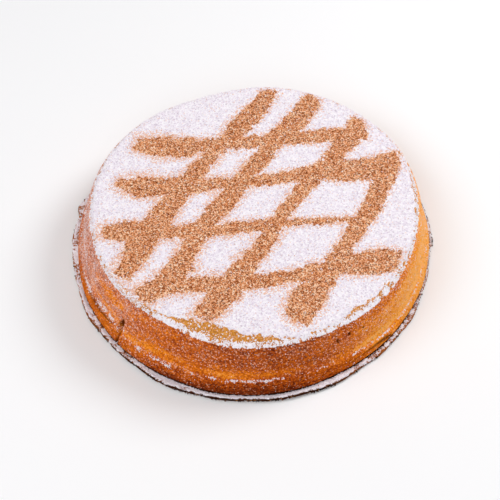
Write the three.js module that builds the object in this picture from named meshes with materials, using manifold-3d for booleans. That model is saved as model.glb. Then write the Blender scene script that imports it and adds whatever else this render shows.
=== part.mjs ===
/**
 * Baked cassata: a round ricotta cake in a pastry case, turned out of a flared tin.
 *
 * Four pieces lie on one another. The thin sheet of pastry that closed the tin in the oven is
 * underneath, and its edge sticks out all round. The cake stands on it. Icing sugar covers
 * the top, and eight stripes of sifted cinnamon cross on the sugar as a lattice.
 *
 * Units are millimetres and +Z is up. The origin is the centre of the underside. A direction
 * is in degrees anticlockwise from +X, seen from above, so the front of the cake is at -90.
 */

import * as THREE from 'three';
import { mergeVertices } from 'three/addons/utils/BufferGeometryUtils.js';
import Module from 'manifold-3d';

// Heights above the table
const SHEET_THICKNESS = 2.2;
const LEDGE_HEIGHT = 12.6;
const CREST_HEIGHT = 40;
const TOP_HEIGHT = 41.6;
const SUGAR_TOP = 42.6;
const CINNAMON_TOP = 43.2;

// Radii: the wall runs straight from the foot in to the crest, the outer edge of the top
const SHEET_RADIUS = 121;
const FOOT_RADIUS = 117;
const CREST_RADIUS = 106.8;
const SHOULDER_WIDTH = 2.6;
const SUGAR_INSET = 1.2;
const SUGAR_SLOPE_WIDTH = 2;

// The hand-made cake leans: centres of the circles of its crest and of its foot
const CREST_CENTRE = [0.8, 0.9];
const FOOT_CENTRE = [-3, -0.7];

// How finely the round pieces are faceted
const CAKE_SIDES = 120;
const SHEET_SIDES = 96;
const SUGAR_SIDES = 96;
const STRIPE_STEPS = 16;
const MERGE_DISTANCE = 1e-4;

// The wall from the foot up to the crest: height, and how far it stands out from the straight
// taper. It bulges above the foot, then a ledge, a hollow and a long shallow belly follow.
const WALL_FORM = [
  [3.0, -0.8],
  [4.8, 0.2],
  [8.0, 0.8],
  [11.4, 0.8],
  [LEDGE_HEIGHT, 0.7],
  [13.3, -0.5],
  [15.2, -1.2],
  [17.2, -1.5],
  [19.4, -1.0],
  [22.6, -0.1],
  [26.2, 0.6],
  [30.0, 0.9],
  [34.5, 0.8],
  [37.8, 0.4],
  [39.3, 0.1],
];

// Bumps round the cake: direction, height of the bump, and how many degrees it spreads
const OUT_OF_ROUND = [
  [25, 2.2, 16],
  [108, -4.0, 14],
  [160, 0.9, 15],
  [-122, -2.4, 10],
  [-95, 1.0, 10],
  [-40, 1.0, 12],
];
const FOOT_FLARE = [
  [-120, 2.4, 10],
  [-78, 2.2, 18],
  [-6, 5.2, 22],
];
const WIDE_SHOULDER = [
  [-104, 9.5, 12],
  [-86, 2.5, 6],
  [-54, 3.6, 12],
];
const LEDGE_DRIFT = [
  [-134, -1.7, 5],
  [-119, 1.0, 5],
  [-82, 3.2, 13],
  [-38, -5.0, 9],
  [60, 1.5, 25],
  [130, -1.5, 15],
];
const SHEET_LIFT = [
  [-125, 1.5, 22],
  [-80, 1.9, 20],
  [-20, 0.8, 15],
  [75, 0.8, 30],
  [165, 1.0, 18],
];
const SHEET_TONGUES = [
  [164, 4.2, 1.8],
  [180, 1.6, 5],
  [-120, 1.2, 8],
  [-92, 1.0, 8],
  [-28, -1.3, 18],
];
const SHEET_DRIFT = -0.8;

// The under edge of the sheet sags again, so the edge looks thicker where it is lifted
const UNDER_EDGE_SHARE = 0.35;

// The crack in the side, where the two ends of the strip of pastry meet: heights from its
// lower end to its upper end, and how far its left and right edges are from its direction
const CRACK_DIRECTION = -138.2;
const CRACK_DEPTH = 3.2;
const CRACK_EDGES = [
  [2.8, -1.2, -0.2],
  [7, -0.8, 1.2],
  [11, 0.1, 1.1],
  [14, -1.1, 0.6],
  [19, -1.4, 1.4],
  [22, -0.1, 1.6],
  [25, 1.4, 1.7],
];

// To the left of the crack the strip stands out further, and its ledge runs higher
const LEFT_STRIP_STAND_OUT = [[-152, 0.8, 9]];
const LEFT_STRIP_LEDGE_RISE = [[-139, 6.7, 13]];

// Blisters that burst in the oven: direction, height and radius
const PITS = [
  [-62.7, 31.2, 1.7],
  [-58.4, 32.7, 1.3],
  [-53, 30.9, 1],
];

// The cinnamon stripes: points on the centre line and the stripe's width there. The first
// four run steeply from the far right to the near left, and the other four cross them.
const STRIPES = [
  [[15, 101, 8], [2, 80, 13], [-26, 43.5, 10], [-52, 5, 12.5], [-63, -16, 14], [-73, -34, 15], [-82, -54, 9]],
  [[46, 97, 6], [36, 78, 15], [21, 60, 13], [2, 33, 9], [-18, 3, 13], [-39, -31, 9], [-49, -55, 15],
    [-73, -72, 9]],
  [[75, 71, 8], [70, 59, 13], [57, 41, 9.5], [25, 0, 8.5], [10, -27, 8], [-4.5, -48, 12],
    [-23, -76, 15], [-35, -87, 8]],
  [[99, 40, 7], [87.5, 20, 12], [78.5, -1, 9.5], [60, -32, 9], [42, -62, 12], [30, -77, 19], [27, -90, 10]],
  [[-77, 54, 8], [-58, 50.5, 17], [-30, 51, 10], [0, 53.5, 9], [30, 56, 8], [52, 57.5, 9], [78, 58, 9]],
  [[-88, 21, 6], [-72, 16.5, 15], [-45, 17, 11], [-10, 18.5, 8], [20, 21, 7], [42, 25, 11], [78, 28, 16],
    [97, 37, 7]],
  [[-96, -20, 7], [-78, -19.5, 13], [-55, -20.5, 11], [-25, -20, 7], [10, -16, 7], [35, -15, 3.5],
    [72, -13.5, 2.6]],
  [[-78, -69, 8], [-52, -62, 12], [-32, -62, 9], [-12, -61, 11], [10, -59.5, 7.5], [32, -55, 9],
    [60, -49.5, 12], [82, -46.5, 17], [93, -46, 10]],
];

const wasm = await Module();
wasm.setup();

// ---- Directions, and the forms that change with them ----

const radians = (degrees) => (degrees * Math.PI) / 180;
const wave = (direction, count, phase) => Math.sin(radians(count * direction + phase));

/** Degrees from one direction round to another, from -180 to 180. */
function turn(from, to) {
  return THREE.MathUtils.euclideanModulo(to - from + 180, 360) - 180;
}

/** The sum of a list of bumps in one direction. */
function bumps(list, direction) {
  return list.reduce((sum, [centre, height, spread]) => {
    const away = turn(centre, direction) / spread;
    return sum + height * Math.exp(-0.5 * away ** 2);
  }, 0);
}

/** How far down the wall a height is: 0 at the crest and above, 1 at the foot. */
function wayDown(height) {
  return THREE.MathUtils.clamp((CREST_HEIGHT - height) / CREST_HEIGHT, 0, 1);
}

/** The straight taper of the wall, before it leaves the round. */
function taper(height) {
  return THREE.MathUtils.lerp(CREST_RADIUS, FOOT_RADIUS, wayDown(height));
}

/** How far the wall leaves the round in one direction and at one height. */
function wander(direction, height) {
  const down = wayDown(height);
  const driftX = THREE.MathUtils.lerp(CREST_CENTRE[0], FOOT_CENTRE[0], down);
  const driftY = THREE.MathUtils.lerp(CREST_CENTRE[1], FOOT_CENTRE[1], down);
  const drift = driftX * Math.cos(radians(direction)) + driftY * Math.sin(radians(direction));
  const lumps = 0.3 * wave(direction, 7, 40) + 0.2 * wave(direction, 13, 10 + 4 * height);
  const flare = bumps(FOOT_FLARE, direction) * down;
  return bumps(OUT_OF_ROUND, direction) * (1 - 0.5 * down) + flare + drift + lumps * down;
}

/** Radius at which the flat top ends and the shoulder starts to fall. */
function flatTopRadius(direction) {
  const shoulder = SHOULDER_WIDTH + bumps(WIDE_SHOULDER, direction);
  return CREST_RADIUS + wander(direction, TOP_HEIGHT) - shoulder;
}

/** Outline of the icing sugar, a little inside the flat top. */
function sugarRadius(direction) {
  const ragged = 0.35 * wave(direction, 11, 0) + 0.25 * wave(direction, 23, 70);
  return flatTopRadius(direction) - SUGAR_INSET + ragged;
}

// ---- Helpers for round pieces ----

/** Turns a profile of [radius, height] pairs about the upright axis. */
function revolve(profile, sides) {
  const points = profile.map(([radius, height]) => new THREE.Vector2(radius, height));
  return new THREE.LatheGeometry(points, sides).rotateX(Math.PI / 2);
}

/** Moves the points off the axis: move gets a direction, a radius and a height. */
function reshape(geometry, move) {
  const points = geometry.attributes.position;
  for (let i = 0; i < points.count; i += 1) {
    const angle = Math.atan2(points.getY(i), points.getX(i));
    const radius = Math.hypot(points.getX(i), points.getY(i));
    if (radius > 1) {
      const [newRadius, newHeight] = move(THREE.MathUtils.radToDeg(angle), radius, points.getZ(i));
      points.setXYZ(i, newRadius * Math.cos(angle), newRadius * Math.sin(angle), newHeight);
    }
  }
  geometry.computeVertexNormals();
  return geometry;
}

/** Makes a closed geometry into a solid that can be cut and joined. */
function toSolid(geometry) {
  const bare = geometry.clone();
  bare.deleteAttribute('normal');
  bare.deleteAttribute('uv');
  const merged = mergeVertices(bare, MERGE_DISTANCE);
  const corners = Array.from(merged.index.array);
  const triangles = [];
  for (let i = 0; i < corners.length; i += 3) {
    const [a, b, c] = corners.slice(i, i + 3);
    if (a !== b && b !== c && c !== a) {
      triangles.push(a, b, c);
    }
  }
  return new wasm.Manifold(new wasm.Mesh({
    numProp: 3,
    vertProperties: new Float32Array(merged.attributes.position.array),
    triVerts: new Uint32Array(triangles),
  }));
}

/** Gives a solid back as a geometry. */
function toGeometry(solid) {
  const { vertProperties, triVerts } = solid.getMesh();
  const geometry = new THREE.BufferGeometry();
  geometry.setAttribute('position', new THREE.BufferAttribute(vertProperties, 3));
  geometry.setIndex(new THREE.BufferAttribute(triVerts, 1));
  geometry.computeVertexNormals();
  return geometry;
}

// ---- The cake ----

/** Profile from the middle of the underside, up the wall, and in over the shoulder. */
function cakeProfile() {
  const wall = WALL_FORM.map(([height, standOut]) => [taper(height) + standOut, height]);
  const flatEdge = CREST_RADIUS - SHOULDER_WIDTH;
  return [
    [0, SHEET_THICKNESS],
    [FOOT_RADIUS - 3.4, SHEET_THICKNESS],
    ...wall,
    [CREST_RADIUS - 0.3, CREST_HEIGHT],
    [CREST_RADIUS - 0.9, CREST_HEIGHT],
    [flatEdge + 0.8, TOP_HEIGHT - 0.5],
    [flatEdge, TOP_HEIGHT],
    [0, TOP_HEIGHT],
  ];
}

/** Moves one point of the cake from the true round to where the hand-made one is. */
function moveCakePoint(direction, radius, height) {
  const upShoulder = Math.max((height - CREST_HEIGHT) / (TOP_HEIGHT - CREST_HEIGHT), 0);
  const inward = bumps(WIDE_SHOULDER, direction) * upShoulder;

  // What happens at the ledge fades out to nothing at the foot and at the crest.
  const aboveFoot = (height - SHEET_THICKNESS) / (LEDGE_HEIGHT - SHEET_THICKNESS);
  const belowCrest = (CREST_HEIGHT - height) / (CREST_HEIGHT - LEDGE_HEIGHT);
  const share = Math.max(Math.min(aboveFoot, belowCrest), 0);
  const leftStrip = turn(CRACK_DIRECTION, direction) < 0 ? share : 0;
  const standOut = bumps(LEFT_STRIP_STAND_OUT, direction) * leftStrip;
  const rise = bumps(LEDGE_DRIFT, direction) * share
    + bumps(LEFT_STRIP_LEDGE_RISE, direction) * leftStrip;
  return [radius + wander(direction, height) - inward + standOut, height + rise];
}

/** Radius of the wall without its ledge and belly, for what is cut into it. */
function wallRadius(direction, height) {
  return taper(height) + wander(direction, height);
}

/** A thin wedge with a jagged outline that follows the wall and opens the crack in it. */
function crackGeometry() {
  const leftEdge = CRACK_EDGES.map(([height, left]) => new THREE.Vector2(left, height));
  const rightEdge = CRACK_EDGES.map(([height, , right]) => new THREE.Vector2(right, height));
  const outline = new THREE.Shape([...rightEdge, ...leftEdge.reverse()]);
  const wedge = new THREE.ExtrudeGeometry(outline, { depth: 2 * CRACK_DEPTH, bevelEnabled: false });
  const corners = wedge.attributes.position;
  for (let i = 0; i < corners.count; i += 1) {
    const height = corners.getY(i);
    const outward = wallRadius(CRACK_DIRECTION, height) + corners.getZ(i) - CRACK_DEPTH;
    corners.setXYZ(i, corners.getX(i), -outward, height);
  }
  return wedge.rotateZ(radians(CRACK_DIRECTION + 90));
}

/** A burst blister: a small ball sunk a little under the crust. */
function pitGeometry(direction, height, radius) {
  const outward = wallRadius(direction, height);
  const pit = new THREE.SphereGeometry(radius, 8, 6).translate(outward, 0, height);
  return pit.rotateZ(radians(direction));
}

function cakeGeometry() {
  const round = revolve(cakeProfile(), CAKE_SIDES);
  let cake = toSolid(reshape(round, moveCakePoint));
  cake = cake.subtract(toSolid(crackGeometry()));
  for (const [direction, height, radius] of PITS) {
    cake = cake.subtract(toSolid(pitGeometry(direction, height, radius)));
  }
  return toGeometry(cake);
}

// ---- The pastry sheet underneath ----

const SHEET_BEND = FOOT_RADIUS - 2.2;

/** Lifts and frays the sheet beyond the cake's foot, and leaves it flat under the cake. */
function moveSheetPoint(direction, radius, height) {
  const outward = Math.max((radius - SHEET_BEND) / (SHEET_RADIUS - SHEET_BEND), 0);
  const bend = SHEET_BEND + wander(direction, 0);
  const frayed = 0.5 * wave(direction, 9, 20) + 0.35 * wave(direction, 21, 50);
  const drift = SHEET_DRIFT * Math.cos(radians(direction));
  const edge = SHEET_RADIUS + frayed + drift + bumps(SHEET_TONGUES, direction);
  const newRadius = outward > 0 ? bend + (edge - bend) * outward : radius;
  const lifted = height < 0.5 ? UNDER_EDGE_SHARE : 1;
  return [newRadius, height + bumps(SHEET_LIFT, direction) * outward ** 2 * lifted];
}

function sheetGeometry() {
  const profile = [
    [0, 0],
    [SHEET_BEND - 6, 0],
    [SHEET_BEND + 2, 0],
    [SHEET_RADIUS - 0.5, 0.2],
    [SHEET_RADIUS, 1.0],
    [SHEET_RADIUS - 0.4, 1.8],
    [SHEET_BEND + 2, 1.8],
    [SHEET_BEND, SHEET_THICKNESS],
    [0, SHEET_THICKNESS],
  ];
  return reshape(revolve(profile, SHEET_SIDES), moveSheetPoint);
}

// ---- The icing sugar ----

function sugarGeometry() {
  const profile = [
    [0, TOP_HEIGHT],
    [CREST_RADIUS, TOP_HEIGHT],
    [CREST_RADIUS - 0.3, TOP_HEIGHT + 0.35],
    [CREST_RADIUS - 0.4 * SUGAR_SLOPE_WIDTH, SUGAR_TOP - 0.25],
    [CREST_RADIUS - SUGAR_SLOPE_WIDTH, SUGAR_TOP],
    [0, SUGAR_TOP],
  ];
  return reshape(revolve(profile, SUGAR_SIDES), (direction, radius, height) => [
    radius - CREST_RADIUS + sugarRadius(direction),
    height,
  ]);
}

// ---- The cinnamon lattice ----

/** Bends a long flat box along a stripe's centre line and thins its two sides. */
function stripeGeometry(points) {
  // The third coordinate of the curve carries the stripe's width.
  const line = new THREE.CatmullRomCurve3(points.map((point) => new THREE.Vector3(...point)));
  const stripe = new THREE.BoxGeometry(1, 1, 1, STRIPE_STEPS, 3, 1);
  const corners = stripe.attributes.position;
  for (let i = 0; i < corners.count; i += 1) {
    const along = line.getPoint(corners.getX(i) + 0.5);
    const tangent = line.getTangent(corners.getX(i) + 0.5).setZ(0).normalize();
    const across = corners.getY(i) * along.z;
    const onSide = Math.abs(corners.getY(i)) > 0.4;
    const thickness = (CINNAMON_TOP - SUGAR_TOP) * (onSide ? 0.4 : 1);
    corners.setXYZ(
      i,
      along.x - tangent.y * across,
      along.y + tangent.x * across,
      SUGAR_TOP + (corners.getZ(i) > 0 ? thickness : 0),
    );
  }
  return stripe;
}

/** All the stripes as one piece, ended where the sugar starts to slope away. */
function latticeGeometry() {
  const stripes = STRIPES.map((points) => toSolid(stripeGeometry(points)));
  const lattice = stripes.reduce((whole, stripe) => whole.add(stripe));
  const disc = new THREE.CylinderGeometry(CREST_RADIUS, CREST_RADIUS, 4, SUGAR_SIDES).rotateX(Math.PI / 2);
  disc.translate(0, 0, SUGAR_TOP);
  const field = reshape(disc, (direction, radius, height) => [
    sugarRadius(direction) - SUGAR_SLOPE_WIDTH,
    height,
  ]);
  return toGeometry(lattice.intersect(toSolid(field)));
}

// ---- The whole cassata ----

function piece(name, geometry, color, roughness) {
  const mesh = new THREE.Mesh(geometry, new THREE.MeshStandardMaterial({ color, roughness, metalness: 0 }));
  mesh.name = name;
  return mesh;
}

const cassata = new THREE.Group();
cassata.name = 'baked_cassata';
cassata.add(piece('pastry_sheet', sheetGeometry(), 0x9c5a24, 0.7));
cassata.add(piece('cake', cakeGeometry(), 0xc2621f, 0.6));
cassata.add(piece('icing_sugar', sugarGeometry(), 0xf0eaf0, 0.95));
cassata.add(piece('cinnamon_lattice', latticeGeometry(), 0xbd8152, 0.9));

export default cassata;
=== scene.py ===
# %% [markdown]
# # A baked cassata
# A baked cassata is a round cake of sweet ricotta shut in shortcrust pastry. It is turned out
# of its flared tin upside down, so the thin sheet that closed the tin ends up underneath, and
# its frayed edge sticks out all round the foot. Icing sugar is sifted over the top, and then
# stripes of cinnamon are sifted across it through a grid.
#
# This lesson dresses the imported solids. Each solid already has the right size and form, so
# every fine mesh here is wrapped onto its solid with rays, and only then gets its crumb,
# grain and colour. Lengths are in millimetres until they go into a mesh, which is in metres.

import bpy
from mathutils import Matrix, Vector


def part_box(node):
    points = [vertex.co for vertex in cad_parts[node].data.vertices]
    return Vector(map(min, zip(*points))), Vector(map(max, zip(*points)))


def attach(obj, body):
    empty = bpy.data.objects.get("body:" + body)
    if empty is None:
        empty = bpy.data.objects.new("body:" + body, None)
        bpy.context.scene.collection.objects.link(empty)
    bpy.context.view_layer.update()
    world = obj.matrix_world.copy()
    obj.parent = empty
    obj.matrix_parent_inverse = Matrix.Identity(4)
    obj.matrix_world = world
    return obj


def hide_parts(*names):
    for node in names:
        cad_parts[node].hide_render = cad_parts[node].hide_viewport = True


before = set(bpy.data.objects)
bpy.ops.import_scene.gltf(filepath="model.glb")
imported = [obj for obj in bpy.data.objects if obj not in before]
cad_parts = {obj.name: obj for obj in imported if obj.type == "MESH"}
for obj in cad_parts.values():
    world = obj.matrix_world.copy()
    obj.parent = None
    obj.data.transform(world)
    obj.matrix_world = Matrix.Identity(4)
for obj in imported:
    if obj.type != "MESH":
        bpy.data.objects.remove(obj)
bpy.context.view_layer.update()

# %% Tools and units
import itertools
from math import cos, pi, radians, sin, tau

import bmesh
import bpy
import numpy as np
from mathutils import Matrix, Vector
from mathutils.bvhtree import BVHTree

MM = 0.001
SHEET_TOP = 2.2
CREST_HEIGHT = 40.0
CAKE_TOP = 1000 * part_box("cake")[1].z
SUGAR_TOP = 1000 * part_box("icing_sugar")[1].z


def put_in_scene(name, data):
    """Makes an object of a mesh, a light or a camera."""
    thing = bpy.data.objects.new(name, data)
    bpy.context.scene.collection.objects.link(thing)
    return thing


print(f"the cake's top is at {CAKE_TOP:.1f} mm and the sugar's at {SUGAR_TOP:.1f} mm")

# %% [markdown]
# ## The camera
# The photograph was taken from above and in front, with a long lens. A circle seen at an angle
# turns into an ellipse, and perspective makes its near half larger than its far half. That
# gives the camera's place, which is written here as real sizes: where the lens was, how far
# it tilts down, and how little it is turned and rolled.

# %% Set the camera at the photograph's angle
CAMERA_PLACE = Vector((1.848, -442.956, 617.063)) * MM
LOOK_DOWN = radians(54.71)
CAMERA_TURN = radians(0.557)
CAMERA_ROLL = radians(-1.716)
SENSOR_WIDTH = 36.0
LENS = 80.315

camera = put_in_scene("camera", bpy.data.cameras.new("camera"))
camera.data.sensor_width = SENSOR_WIDTH
camera.data.lens = LENS
camera.data.clip_start = 0.01
aim = (
    Matrix.Rotation(CAMERA_TURN, 4, "Z")
    @ Matrix.Rotation(pi / 2 - LOOK_DOWN, 4, "X")
    @ Matrix.Rotation(CAMERA_ROLL, 4, "Z")
)
camera.matrix_world = Matrix.Translation(CAMERA_PLACE) @ aim
bpy.context.scene.camera = camera
print(f"the camera is {CAMERA_PLACE.length:.3f} m from the cake")

# %% [markdown]
# ## The floor and the light
# The cake stands on white paper in a bright studio. One softbox is on the right and a little
# behind, which makes the right side of the wall bright and leaves the front in soft shade.
# Two wider and weaker ones fill the left and the front, and the pale sky does the rest.

# %% Lay the floor
FLOOR_SIZE = 6.0


def add_floor():
    mesh = bmesh.new()
    bmesh.ops.create_grid(mesh, x_segments=1, y_segments=1, size=FLOOR_SIZE / 2)
    data = bpy.data.meshes.new("floor")
    mesh.to_mesh(data)
    mesh.free()
    paper = bpy.data.materials.new("white_paper")
    paper.use_nodes = True
    shader = paper.node_tree.nodes["Principled BSDF"]
    shader.inputs["Base Color"].default_value = (0.96, 0.96, 0.97, 1)
    shader.inputs["Roughness"].default_value = 0.9
    data.materials.append(paper)
    floor = put_in_scene("floor", data)


add_floor()
print("the floor is", FLOOR_SIZE, "m wide")

# %% Hang the lights
# Name, direction round the cake and height above the horizon in degrees, distance and
# width in metres, power in watts
LIGHTS = [
    ("key", 28, 42, 1.3, 0.6, 8.8),
    ("fill", -165, 50, 1.5, 1.0, 7.6),
    ("front", -100, 46, 1.7, 1.0, 5.8),
]
SKY_STRENGTH = 0.31


def add_light(name, direction, height, distance, width, power):
    light = bpy.data.lights.new(name, "AREA")
    light.shape = "DISK"
    light.size = width
    light.energy = power
    aim = Matrix.Rotation(radians(direction + 90), 4, "Z") @ Matrix.Rotation(radians(90 - height), 4, "X")
    lamp = put_in_scene(name, light)
    lamp.matrix_world = aim @ Matrix.Translation((0, 0, distance))


for light in LIGHTS:
    add_light(*light)

sky = bpy.data.worlds.new("studio")
sky.use_nodes = True
sky.node_tree.nodes["Background"].inputs["Color"].default_value = (1.0, 0.99, 1.0, 1)
sky.node_tree.nodes["Background"].inputs["Strength"].default_value = SKY_STRENGTH
bpy.context.scene.world = sky
bpy.context.scene.view_settings.view_transform = "Standard"
print(len(LIGHTS), "lights and a pale sky")

# %% [markdown]
# ## Helpers for shapes
# A handful of small functions serve every piece. `ray_tree` makes a surface that rays can be
# shot at: inwards for a radius, down or up for a height. `soft_noise` gives smooth random
# values, the same in every run, for all that is uneven on the cake. `roll_profile` rolls a
# flat grid into a round piece.

# %% Points in and out of a mesh
def get_points(data):
    """The mesh's points in millimetres, one row each."""
    points = np.empty(len(data.vertices) * 3)
    data.vertices.foreach_get("co", points)
    return points.reshape(-1, 3) / MM


def set_points(data, points):
    data.vertices.foreach_set("co", (points * MM).ravel())
    data.update()


def places_of(mesh):
    """The points of a bmesh in millimetres, one row each."""
    return np.array([point.co for point in mesh.verts]) / MM


def get_normals(data):
    normals = np.empty(len(data.vertices) * 3)
    data.vertices.foreach_get("normal", normals)
    return normals.reshape(-1, 3)


def paint(data, name, values):
    """Keeps one number for each point of the mesh, which the material can read."""
    layer = data.attributes.new(name, "FLOAT", "POINT")
    layer.data.foreach_set("value", np.asarray(values, dtype=np.float32))


print("the packed cake has", len(get_points(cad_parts["cake"].data)), "points")

# %% Rays against a surface
FAR = 300.0


def ray_tree(piece):
    mesh = bmesh.new()
    mesh.from_mesh(piece.data)
    tree = BVHTree.FromBMesh(mesh)
    mesh.free()
    return tree


def reach(tree, direction, height):
    """How far the surface is from the axis, in one direction (degrees) and at one height."""
    outward = Vector((cos(radians(direction)), sin(radians(direction)), 0))
    start = (outward * FAR + Vector((0, 0, height))) * MM
    hit = tree.ray_cast(start, -outward)[0]
    return hit.to_2d().length / MM if hit else 0.0


def top_of(tree, x, y, otherwise=0.0):
    """How high the surface is at one place, seen from above."""
    hit = tree.ray_cast(Vector((x, y, FAR)) * MM, Vector((0, 0, -1)))[0]
    return hit.z / MM if hit else otherwise


def tops_of(tree, points, otherwise=0.0):
    return np.array([top_of(tree, x, y, otherwise) for x, y in points[:, :2]])


cake_tree = ray_tree(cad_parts["cake"])
print(f"in its middle the packed cake is {top_of(cake_tree, 0, 0):.1f} mm high")

# %% Directions and smooth random values
def directions_of(points):
    """The direction of each point round the axis, in degrees from -180 to 180."""
    return np.degrees(np.arctan2(points[:, 1], points[:, 0]))


def radii_of(points):
    """How far each point is from the axis."""
    return np.hypot(points[:, 0], points[:, 1])


def flat_at(directions, radii):
    """Places seen from above, one row each, from directions in degrees and radii."""
    angle = np.radians(directions)
    return np.column_stack([radii * np.cos(angle), radii * np.sin(angle)])


def smooth_step(low, high, values):
    share = np.clip((values - low) / (high - low), 0, 1)
    return share * share * (3 - 2 * share)


def bumps(marks, directions):
    """The sum of soft bumps round the cake: direction, size and spread in degrees."""
    total = np.zeros_like(directions, dtype=float)
    for centre, size, spread in marks:
        away = (directions - centre + 180) % 360 - 180
        total += size * np.exp(-0.5 * (away / spread) ** 2)
    return total


def round_values(knots, directions):
    """Values between knots round the cake: (direction, value), in order from -180 to 180."""
    turns, values = np.array(knots).T
    return np.interp(directions, turns, values, period=360)


HASH_STEPS = (73856093, 19349663, 83492791)
HASH_SIZE = 8192


def soft_noise(points, size, seed):
    """Smooth random values from -1 to 1 that change over about size millimetres."""
    table = np.random.default_rng(seed).uniform(-1, 1, HASH_SIZE)
    scaled = points / size
    cell = np.floor(scaled).astype(np.int64)
    part = scaled - cell
    part = part * part * (3 - 2 * part)
    total = np.zeros(len(points))
    for corner in itertools.product((0, 1), repeat=points.shape[1]):
        key = np.zeros(len(points), dtype=np.int64)
        share = np.ones(len(points))
        for axis, side in enumerate(corner):
            key ^= (cell[:, axis] + side) * HASH_STEPS[axis]
            share = share * (part[:, axis] if side else 1 - part[:, axis])
        total += share * table[key % HASH_SIZE]
    return total


def layered_noise(points, layers):
    """Soft noise of several kinds added up: each has a size in mm, a strength and a seed."""
    return sum(depth * soft_noise(points, size, seed) for size, depth, seed in layers)


print("helpers are ready")

# %% Roll a grid into a round piece, and make an object of a mesh
def roll_profile(profile, sides):
    """Rolls a flat grid into a round piece whose section is (radius, height) points.

    The spin operator does the same, but it slows down with each of many hundred steps.
    """
    mesh = bmesh.new()
    rows = len(profile) - 1
    bmesh.ops.create_grid(mesh, x_segments=sides, y_segments=rows, size=0.5)
    for point in mesh.verts:
        angle = tau * (point.co.x + 0.5)
        radius, height = profile[round(rows * (point.co.y + 0.5))]
        point.co = Vector((radius * cos(angle), radius * sin(angle), height)) * MM
    bmesh.ops.remove_doubles(mesh, verts=mesh.verts, dist=0.001 * MM)
    bmesh.ops.recalc_face_normals(mesh, faces=mesh.faces)
    return mesh


def make_piece(name, mesh, replaced=None):
    """Ends a bmesh as a smooth object that rides on the cake's body."""
    for face in mesh.faces:
        face.smooth = True
    data = bpy.data.meshes.new(name)
    mesh.to_mesh(data)
    mesh.free()
    piece = put_in_scene(name, data)
    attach(piece, "root")
    if replaced:
        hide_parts(replaced)
    return piece


def report(piece):
    triangles = sum(len(face.vertices) - 2 for face in piece.data.polygons)
    points = get_points(piece.data)
    size = np.ptp(points, axis=0).round(1).tolist()
    print(f"{piece.name}: {triangles} triangles, {size} mm")


print("pieces can be rolled, placed and measured")

# %% [markdown]
# ## The crust
# The crust is the baked side of the cake and what shows of its top. It could be a cylinder
# with a bump map, but its ledge, its belly and its crack cast real shadows. So a plain
# cylinder is rolled with many rings, and every point is moved until it lies on the packed
# solid. Then the wall gets its relief: slow lumps, streaks that run round, grain and pores.

# %% Roll a plain cylinder
CRUST_SIDES = 960
NOMINAL_RADIUS = 100.0
WALL_FOOT = 2.5
WALL_STEP = 0.5
RIM_STEP = 0.7
RIM_RINGS = 17


def crust_profile():
    """Underside, wall and top as one line, with the closest points where detail shows."""
    underside = [(radius, SHEET_TOP) for radius in (0, 40, 75, 95)]
    rings = int((CREST_HEIGHT - WALL_FOOT) / WALL_STEP)
    wall = [(NOMINAL_RADIUS, WALL_FOOT + WALL_STEP * ring) for ring in range(rings)]
    rim = [(NOMINAL_RADIUS - RIM_STEP * ring, CREST_HEIGHT) for ring in range(RIM_RINGS)]
    middle = [(radius, CREST_HEIGHT) for radius in (84, 70, 45, 20, 0)]
    return underside + wall + rim + middle


crust_mesh = roll_profile(crust_profile(), CRUST_SIDES)
crust = make_piece("cake_crust", crust_mesh, replaced="cake")
report(crust)

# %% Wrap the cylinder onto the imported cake
JUST_BELOW_CREST = CREST_HEIGHT - 0.1
ROUND = np.arange(-180, 180, 0.5)


def reach_round(tree, height):
    """How far the surface is from the axis in every direction, at one height."""
    return np.array([reach(tree, direction, height) for direction in ROUND])


CREST_LINE = reach_round(cake_tree, JUST_BELOW_CREST)


def crest_radius(directions):
    """Radius of the crest, the outer edge of the top, in each direction."""
    return np.interp(directions, ROUND, CREST_LINE, period=360)


def wrap_crust(points):
    directions = directions_of(points)
    radii = radii_of(points)
    heights = points[:, 2].copy()
    on_wall = (radii > NOMINAL_RADIUS - 0.01) & (heights < CREST_HEIGHT - 0.01)
    on_top = heights > CREST_HEIGHT - 0.01
    under = ~on_wall & ~on_top
    wrapped = radii.copy()
    wrapped[on_wall] = [
        reach(cake_tree, direction, height)
        for direction, height in zip(directions[on_wall], heights[on_wall])
    ]
    crest = crest_radius(directions)
    inset = NOMINAL_RADIUS - radii
    wrapped[on_top] = (crest - inset * crest / NOMINAL_RADIUS)[on_top] - 0.3
    wrapped[under] = (radii * crest / NOMINAL_RADIUS)[under]
    wrapped = np.maximum(wrapped, 0)
    flat = flat_at(directions, wrapped)
    flat[radii < 0.01] = 0
    heights[on_top] = tops_of(cake_tree, flat[on_top])
    return np.column_stack([flat, heights]), on_wall


points, on_wall = wrap_crust(get_points(crust.data))
set_points(crust.data, points)
report(crust)

# %% Give the crust its relief
LUMPS_AND_GRAIN = ((14.0, 0.22, 1), (1.1, 0.07, 3))
STREAK_SIZE = np.array([16.0, 16.0, 1.5])
STREAK_DEPTH = 0.10
PORE_SPACING = 1.9
PORE_DEPTH = 0.35
RELIEF_FROM = NOMINAL_RADIUS - 20
SHARE_ON_TOP = 0.4


def crust_relief(points):
    """How far each point of the crust stands out, in millimetres."""
    streaks = STREAK_DEPTH * soft_noise(points / STREAK_SIZE, 1.0, 2)
    pores = PORE_DEPTH * smooth_step(0.62, 0.95, soft_noise(points, PORE_SPACING, 4))
    return layered_noise(points, LUMPS_AND_GRAIN) + streaks - pores


points = get_points(crust.data)
outer = radii_of(points) > RELIEF_FROM
above_foot = points[:, 2] > SHEET_TOP + 0.01
moved = crust_relief(points) * (outer & above_foot) * np.where(on_wall, 1.0, SHARE_ON_TOP)
set_points(crust.data, points + get_normals(crust.data) * moved[:, None])
crust_tree = ray_tree(crust)
report(crust)

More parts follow.
